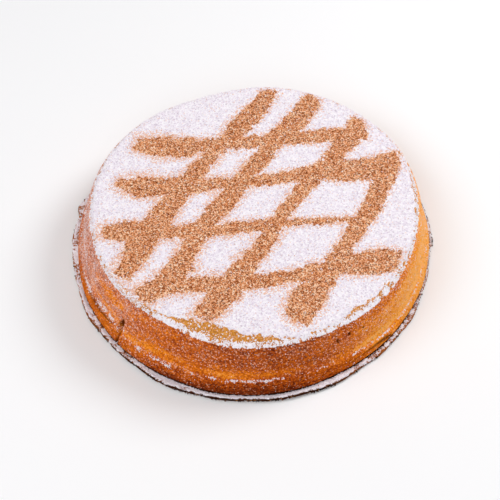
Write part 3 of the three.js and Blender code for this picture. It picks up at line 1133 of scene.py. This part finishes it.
# %% Mix the finish of a powder
def powder_finish(name, stops, grain_size, coarse=0.5, dust=None):
    """Matt powder: every grain has its own tone.

    Dust names a painted number, how much of the other powder lies there, and its colour.
    """
    nodes = Nodes(name, roughness=0.95, specular=0.1)
    tone = nodes.math("MULTIPLY", nodes.grains(grain_size), coarse)
    fine = nodes.math("MULTIPLY", nodes.noise(1.2 * grain_size, detail=2.0), 1 - coarse)
    powder = nodes.ramp(nodes.math("ADD", tone, fine), stops)
    if dust:
        rest = nodes.math("SUBTRACT", 1.0, nodes.painted(dust[0]))
        specks = nodes.above(nodes.grains(0.9 * grain_size), rest, 0.08)
        powder = nodes.mix(nodes.math("MULTIPLY", specks, 0.8), powder, dust[1])
    nodes.bump(nodes.noise(0.6 * grain_size, detail=3.0), depth=0.3)
    return nodes.colour(powder)


grain_sugar = powder_finish("sugar_grains", LIT_SUGAR_STOPS, 0.7)
grain_cinnamon = powder_finish("cinnamon_grains", CINNAMON_STOPS, 0.6, coarse=0.35)
print("single grains have", grain_sugar.name, "and", grain_cinnamon.name)

# %% Paint how the two powders mix, and finish them
HAZE_REACH = 2.2
HAZE_TOWARDS = (-0.8, -0.4)


def haze(points):
    """How much further, in millimetres, the cinnamon spreads: most at the front left."""
    return HAZE_REACH * smooth_step(-40, 60, points[:, :2] @ HAZE_TOWARDS)


places = get_points(sugar.data)
spread = depth_in_stripe(places) + 2.0 * soft_noise(places[:, :2], 8.0, 61) + haze(places)
paint(sugar.data, "cinnamon_dust", 0.60 * smooth_step(-8.0, 1.0, spread) ** 1.7 + 0.01)
places = get_points(cinnamon.data)
spread = depth_in_stripe(places) + 2.0 * soft_noise(places[:, :2], 6.0, 62)
paint(cinnamon.data, "sugar_dust", 0.35 * smooth_step(1.0, -4.0, spread))
sugar.data.materials.append(powder_finish(
    "icing_sugar_powder", SUGAR_STOPS, 0.85, dust=("cinnamon_dust", SPECK_COLOUR)))
cinnamon.data.materials.append(powder_finish(
    "cinnamon_powder", CINNAMON_STOPS, 0.66, coarse=0.85, dust=("sugar_dust", PEACH)))
print("the powders are finished")

# %% [markdown]
# ## Loose grains
# Where powder thins out it is single grains and small clumps, and each of them catches the
# light. Thousands of separate objects would be slow, so every kind is one cloud of points.
# Geometry Nodes puts a small uneven ball on each point and turns them all into one mesh. The
# points are drawn with a fixed seed, and kept by how much powder lies at their place.

# %% Put a grain on every point with Geometry Nodes
SMALLEST_STRETCH = 0.65
LARGEST_STRETCH = 1.3


def grain_nodes(name, seed, round_grain):
    """A node group that puts a small turned and stretched grain on every point."""
    group = bpy.data.node_groups.new(name, "GeometryNodeTree")
    group.interface.new_socket("Geometry", in_out="INPUT", socket_type="NodeSocketGeometry")
    group.interface.new_socket("Geometry", in_out="OUTPUT", socket_type="NodeSocketGeometry")
    add, link = group.nodes.new, group.links.new
    start, end = add("NodeGroupInput"), add("NodeGroupOutput")
    if round_grain:
        grain = add("GeometryNodeMeshIcoSphere")
        grain.inputs["Subdivisions"].default_value = 1
    else:
        grain = add("GeometryNodeMeshUVSphere")
        grain.inputs["Segments"].default_value = 4
        grain.inputs["Rings"].default_value = 2
    grain.inputs["Radius"].default_value = 1.0
    turned = add("FunctionNodeRandomValue")
    turned.data_type = "FLOAT_VECTOR"
    stretched = add("FunctionNodeRandomValue")
    stretched.data_type = "FLOAT_VECTOR"
    ranges = ((turned, 0.0, tau), (stretched, SMALLEST_STRETCH, LARGEST_STRETCH))
    for step, (node, low, high) in enumerate(ranges):
        vectors = [socket for socket in node.inputs if socket.type == "VECTOR"]
        vectors[0].default_value = (low, low, low)
        vectors[1].default_value = (high, high, high)
        node.inputs["Seed"].default_value = seed + step
    size = add("GeometryNodeInputNamedAttribute")
    size.data_type = "FLOAT"
    size.inputs["Name"].default_value = "size"
    scaled = add("ShaderNodeVectorMath")
    scaled.operation = "SCALE"
    link(next(socket for socket in stretched.outputs if socket.enabled), scaled.inputs[0])
    link(next(socket for socket in size.outputs if socket.enabled), scaled.inputs["Scale"])
    copies = add("GeometryNodeInstanceOnPoints")
    link(start.outputs[0], copies.inputs["Points"])
    link(grain.outputs["Mesh"], copies.inputs["Instance"])
    link(next(socket for socket in turned.outputs if socket.enabled), copies.inputs["Rotation"])
    link(scaled.outputs[0], copies.inputs["Scale"])
    real = add("GeometryNodeRealizeInstances")
    link(copies.outputs[0], real.inputs[0])
    link(real.outputs[0], end.inputs[0])
    return group


print("grains are", SMALLEST_STRETCH, "to", LARGEST_STRETCH, "times their size across")

# %% Scatter one kind of grain
def scatter(name, places, sizes, seed, material, round_grain=True):
    """One mesh of grains: places in millimetres, and sizes as each grain's radius."""
    cloud = bpy.data.meshes.new(name)
    cloud.vertices.add(len(places))
    set_points(cloud, places)
    paint(cloud, "size", sizes * MM)
    piece = put_in_scene(name, cloud)
    maker = piece.modifiers.new("grains", "NODES")
    maker.node_group = grain_nodes(name, seed, round_grain)
    bpy.context.view_layer.update()
    evaluated = piece.evaluated_get(bpy.context.evaluated_depsgraph_get())
    grains = bpy.data.meshes.new_from_object(evaluated)
    piece.modifiers.clear()
    piece.data = grains
    grains.materials.clear()
    grains.materials.append(material)
    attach(piece, "root")
    report(piece)


print("grains can be scattered")

# %% Where grains may lie
rng = np.random.default_rng(2024)
# How far a grain's middle is above the surface, as a share of its radius
RAISED = 0.3
TOP_RADIUS = 108.0


def draw_sizes(count, smallest, largest):
    """Grain radii in millimetres: many small ones and few large ones."""
    return smallest + (largest - smallest) * rng.random(count) ** 2.5


def keep_by_chance(chance):
    return rng.random(len(chance)) < chance


def draw_on_top(count):
    """Random places on the round top."""
    radii = TOP_RADIUS * np.sqrt(rng.random(count))
    angle = tau * rng.random(count)
    return np.column_stack([radii * np.cos(angle), radii * np.sin(angle)])


def at_heights(flat, sizes, *trees):
    """Sets each grain on the highest of some surfaces, with its lower part sunk into it."""
    heights = np.max([tops_of(tree, flat, -1) for tree in trees], axis=0)
    return np.column_stack([flat, heights + RAISED * sizes]), heights > 0


def on_crust(directions, heights, further_out=0.0):
    """Places on the wall of the crust, or a little further out."""
    radii = np.array([reach(crust_tree, *pair) for pair in zip(directions, heights)])
    return np.column_stack([flat_at(directions, radii + further_out), heights])


powder_trees = (crust_tree, sugar_top_tree, ray_tree(cinnamon))
print("grains can be set on", len(powder_trees), "surfaces")

# %% Sugar clumps on the bare edge of the top
CREST_CLUMPS_ROUND = [
    (-180, 0.2), (-140, 0.25), (-128, 0.7), (-115, 1.0), (-95, 1.0), (-86, 0.8), (-78, 0.2),
    (-70, 0.6), (-60, 1.0), (-42, 0.9), (-30, 0.4), (-10, 0.15), (90, 0.2), (180, 0.2),
]


def edge_clumps(count):
    directions = rng.uniform(-180, 180, count)
    away = np.where(rng.random(count) < 0.6, rng.normal(1.4, 1.3, count), rng.uniform(0, 13, count))
    crest = crest_radius(directions)
    radii = crest - np.abs(away)
    flat = flat_at(directions, radii)
    on_crest = round_values(CREST_CLUMPS_ROUND, directions) * np.exp(-((away - 1.4) / 2.0) ** 2)
    clumped = smooth_step(-0.35, 0.4, soft_noise(flat, 3.0, 71))
    islands = 0.18 + 0.42 * smooth_step(0.0, 0.6, soft_noise(flat, 2.4, 74))
    bare = (sugar_edge(directions) < radii) * islands
    kept = keep_by_chance(on_crest * clumped + bare)
    sizes = draw_sizes(count, 0.24, 0.72)
    places, hit = at_heights(flat, sizes, *powder_trees)
    return places[kept & hit], sizes[kept & hit]


places, sizes = edge_clumps(30000)
scatter("edge_sugar", places, sizes, seed=5, material=grain_sugar)

# %% Sugar along the ledge
LEDGE_SUGAR_ROUND = [
    (-180, 0.2), (-165, 0.2), (-157, 0.7), (-142, 1.0), (-138, 0.4), (-128, 0.8), (-118, 1.0),
    (-106, 0.7), (-96, 1.0), (-86, 0.7), (-79, 0.1), (-62, 0.05), (-57, 0.7), (-53, 0.3), (-49, 0.8),
    (-43, 0.9), (-39, 0.15), (-27, 0.3), (0, 0.05), (90, 0.3), (180, 0.3),
]
# How far above or below the ledge's middle the sugar lies
LEDGE_SUGAR_LIFT = [(-148, 0.9, 6), (-122, -0.8, 6)]


def ledge_grains(count):
    directions = rng.uniform(-180, 180, count)
    lift = bumps(LEDGE_SUGAR_LIFT, directions)
    heights = ledge_at(directions) + 0.25 + lift + rng.normal(0, 0.22, count) * (1 + 2 * np.abs(lift))
    sizes = draw_sizes(count, 0.18, 0.48)
    places = on_crust(directions, heights, RAISED * sizes)
    stretches = smooth_step(-0.4, 0.2, soft_noise(places, 7.0, 72))
    clumps = smooth_step(-0.6, 0.3, soft_noise(places, 1.5, 75))
    kept = keep_by_chance(round_values(LEDGE_SUGAR_ROUND, directions) * stretches * clumps)
    return places[kept], sizes[kept]


places, sizes = ledge_grains(11000)
scatter("ledge_sugar", places, sizes, seed=7, material=grain_sugar)

# %% Single grains on the wall
# Grains that fell over the crest: how many there are round the cake, and how far down
FALLEN_ROUND = [
    (-180, 0.5), (-155, 0.7), (-140, 0.8), (-125, 0.5), (-90, 0.2), (-70, 0.3), (-50, 0.6),
    (-35, 0.7), (0, 0.6), (90, 0.5), (180, 0.5),
]
FALLEN_REACH = 2.2
WALL_LOW = 3.5
WALL_HIGH = 39.5


def wall_grains(count):
    directions = rng.uniform(-180, 180, count)
    heights = rng.uniform(WALL_LOW, WALL_HIGH, count)
    sizes = draw_sizes(count, 0.14, 0.42)
    places = on_crust(directions, heights)
    fallen = round_values(FALLEN_ROUND, directions) * np.exp((heights - CREST_HEIGHT) / FALLEN_REACH)
    # no fallen grains where the crack, creases and blisters carry painted shade
    kept = keep_by_chance(0.8 * dusting(places) ** 1.2 + fallen * (1 - shade(places)))
    return places[kept], sizes[kept]


places, sizes = wall_grains(40000)
scatter("wall_sugar", places, sizes, seed=9, material=grain_sugar, round_grain=False)

# %% Grains of cinnamon beside the stripes, and of sugar all over
def loose_cinnamon(count):
    flat = draw_on_top(count)
    spread = depth_in_stripe(flat) + 2.5 * soft_noise(flat, 8.0, 73) + haze(flat)
    kept = keep_by_chance(0.75 * smooth_step(-9.0, 0.0, spread) ** 2 + 0.02)
    flat = flat[kept]
    sizes = draw_sizes(len(flat), 0.15, 0.38)
    places, hit = at_heights(flat, sizes, *powder_trees)
    return places[hit], sizes[hit]


def loose_sugar(count):
    flat = draw_on_top(count)
    sizes = draw_sizes(count, 0.18, 0.5)
    places, hit = at_heights(flat, sizes, *powder_trees)
    on_sugar = radii_of(flat) < sugar_edge(directions_of(flat))
    beside = keep_by_chance(np.where(depth_in_stripe(flat) > -2.0, 0.15, 1.0))
    kept = hit & on_sugar & beside
    return places[kept], sizes[kept]


places, sizes = loose_cinnamon(38000)
scatter("loose_cinnamon", places, sizes, seed=11, material=grain_cinnamon, round_grain=False)
places, sizes = loose_sugar(9000)
scatter("loose_sugar", places, sizes, seed=13, material=grain_sugar)

# %% [markdown]
# ## Sugar on the foot
# Sugar that fell past the side lies on the sheet's edge as a white ring, with gaps where the
# edge is broken. It is a rolled ring that follows the sheet, and dips into it at the gaps.

# %% Roll and wrap the ring
FOOT_SUGAR_SIDES = 1200
FOOT_SUGAR_RINGS = 9
FOOT_SUGAR_GAP = 0.2
FOOT_SUGAR_INNER = 118.0
FOOT_SUGAR_WIDTH = 4.0
INSIDE_EDGE = 0.8
FOOT_SUGAR_PATCHES = ((3.5, 0.55, 82), (1.2, 0.35, 83))
FOOT_SUGAR_ROUND = [
    (-180, 0.5), (-170, 0.45), (-164, 0.65), (-158, 1.0), (-152, 0.8), (-147, 0.45), (-132, 0.5),
    (-122, 0.85), (-105, 1.1), (-75, 1.1), (-62, 0.8), (-52, 0.35), (-42, 0.5), (-30, 0.35),
    (-12, 0.3), (0, 0.4), (90, 0.7), (150, 0.7), (180, 0.5),
]


def foot_sugar_profile():
    steps = [share / (FOOT_SUGAR_RINGS - 1) for share in range(FOOT_SUGAR_RINGS)]
    upper = [(FOOT_SUGAR_INNER + FOOT_SUGAR_WIDTH * step, 3.0) for step in steps]
    return [(FOOT_SUGAR_INNER, 2.0), *upper, (FOOT_SUGAR_INNER + FOOT_SUGAR_WIDTH, 2.0)]


def wrap_foot_sugar(points):
    directions = directions_of(points)
    share = (radii_of(points) - FOOT_SUGAR_INNER) / FOOT_SUGAR_WIDTH
    outer = sheet_edge(directions) - 0.2 + 0.5 * soft_noise(points[:, :2], 2.0, 81)
    inner = foot_radius(directions) + FOOT_SUGAR_GAP + 0.4 * soft_noise(points[:, :2], 2.5, 85)
    radii = inner + (outer - inner) * share
    flat = flat_at(directions, radii)
    probe = flat_at(directions, np.minimum(radii, outer - INSIDE_EDGE))
    ground = tops_of(sheet_top_tree, probe, 1.0)
    cover = round_values(FOOT_SUGAR_ROUND, directions) - 0.45
    cover = cover + layered_noise(flat, FOOT_SUGAR_PATCHES)
    crown = 1 - (2 * share - 1) ** 4
    thick = np.clip(cover, -0.5, 0.8) * crown + 0.22 * soft_noise(flat, 0.9, 84)
    heights = np.where(points[:, 2] > 2.5, ground + thick, ground - 0.8)
    return np.column_stack([flat, np.maximum(heights, 0.05)])


section = foot_sugar_profile()
ring_mesh = roll_profile([*section, section[0]], FOOT_SUGAR_SIDES)
foot_sugar = make_piece("foot_sugar", ring_mesh)
set_points(foot_sugar.data, wrap_foot_sugar(get_points(foot_sugar.data)))
foot_sugar.data.materials.append(grain_sugar)
report(foot_sugar)

# %% [markdown]
# ## Crumbs at the foot
# The ring alone looks like smooth frosting. Grains of sugar on it break its light up, and
# burnt crumbs hang on the sheet's edge, most of them at the front, where it baked black.
# There the dark crumbs also thicken the dark band under the edge, as painted shadow.

# %% Scatter grains on the ring
def ring_grains(count):
    directions = rng.uniform(-180, 180, count)
    inner, outer = foot_radius(directions) + 0.3, sheet_edge(directions) - 0.1
    flat = flat_at(directions, inner + (outer - inner) * rng.random(count))
    sizes = draw_sizes(count, 0.22, 0.6)
    places, hit = at_heights(flat, sizes, sheet_top_tree, ray_tree(foot_sugar))
    places[:, 2] = np.maximum(places[:, 2], LARGEST_STRETCH * sizes)
    kept = hit & keep_by_chance(round_values(FOOT_SUGAR_ROUND, directions))
    return places[kept], sizes[kept]


places, sizes = ring_grains(9000)
scatter("foot_grains", places, sizes, seed=15, material=grain_sugar, round_grain=False)

# %% Scatter burnt crumbs on the edge
# how many crumbs round the cake; at the front they are also painted shadow under the edge
CRUMBS_AND_SHADOW_ROUND = [
    (-180, 0.1), (-160, 0.15), (-152, 0.4), (-147, 0.9), (-135, 0.7), (-125, 1.0), (-75, 1.0),
    (-62, 0.5), (-45, 0.25), (-30, 0.12), (-10, 0.08), (90, 0.2), (180, 0.1),
]


def edge_crumbs(count):
    directions = rng.uniform(-180, 180, count)
    sizes = draw_sizes(count, 0.3, 0.8)
    edge = sheet_edge(directions)
    tops = tops_of(sheet_top_tree, flat_at(directions, edge - INSIDE_EDGE), 1.0)
    heights = LARGEST_STRETCH * sizes + np.maximum(tops - 1.8 * sizes, 0) * rng.random(count)
    flat = flat_at(directions, edge + rng.normal(-0.1, 0.3, count))
    places = np.column_stack([flat, heights])
    clumped = smooth_step(-0.6, 0.2, soft_noise(places, 3.0, 86))
    kept = keep_by_chance(round_values(CRUMBS_AND_SHADOW_ROUND, directions) * clumped)
    return places[kept], sizes[kept]


CRUMB_SIZE = 1.2
CRUMB_STOPS = [(0.5, (0.018, 0.006, 0.003)), (0.8, (0.12, 0.035, 0.01)), (0.95, (0.45, 0.20, 0.08))]


def crumb_finish():
    nodes = Nodes("burnt_crumbs", roughness=0.8, specular=0.05)
    return nodes.colour(nodes.ramp(nodes.grains(CRUMB_SIZE), CRUMB_STOPS))


places, sizes = edge_crumbs(7000)
burnt_crumb = crumb_finish()
scatter("edge_crumbs", places, sizes, seed=17, material=burnt_crumb, round_grain=False)
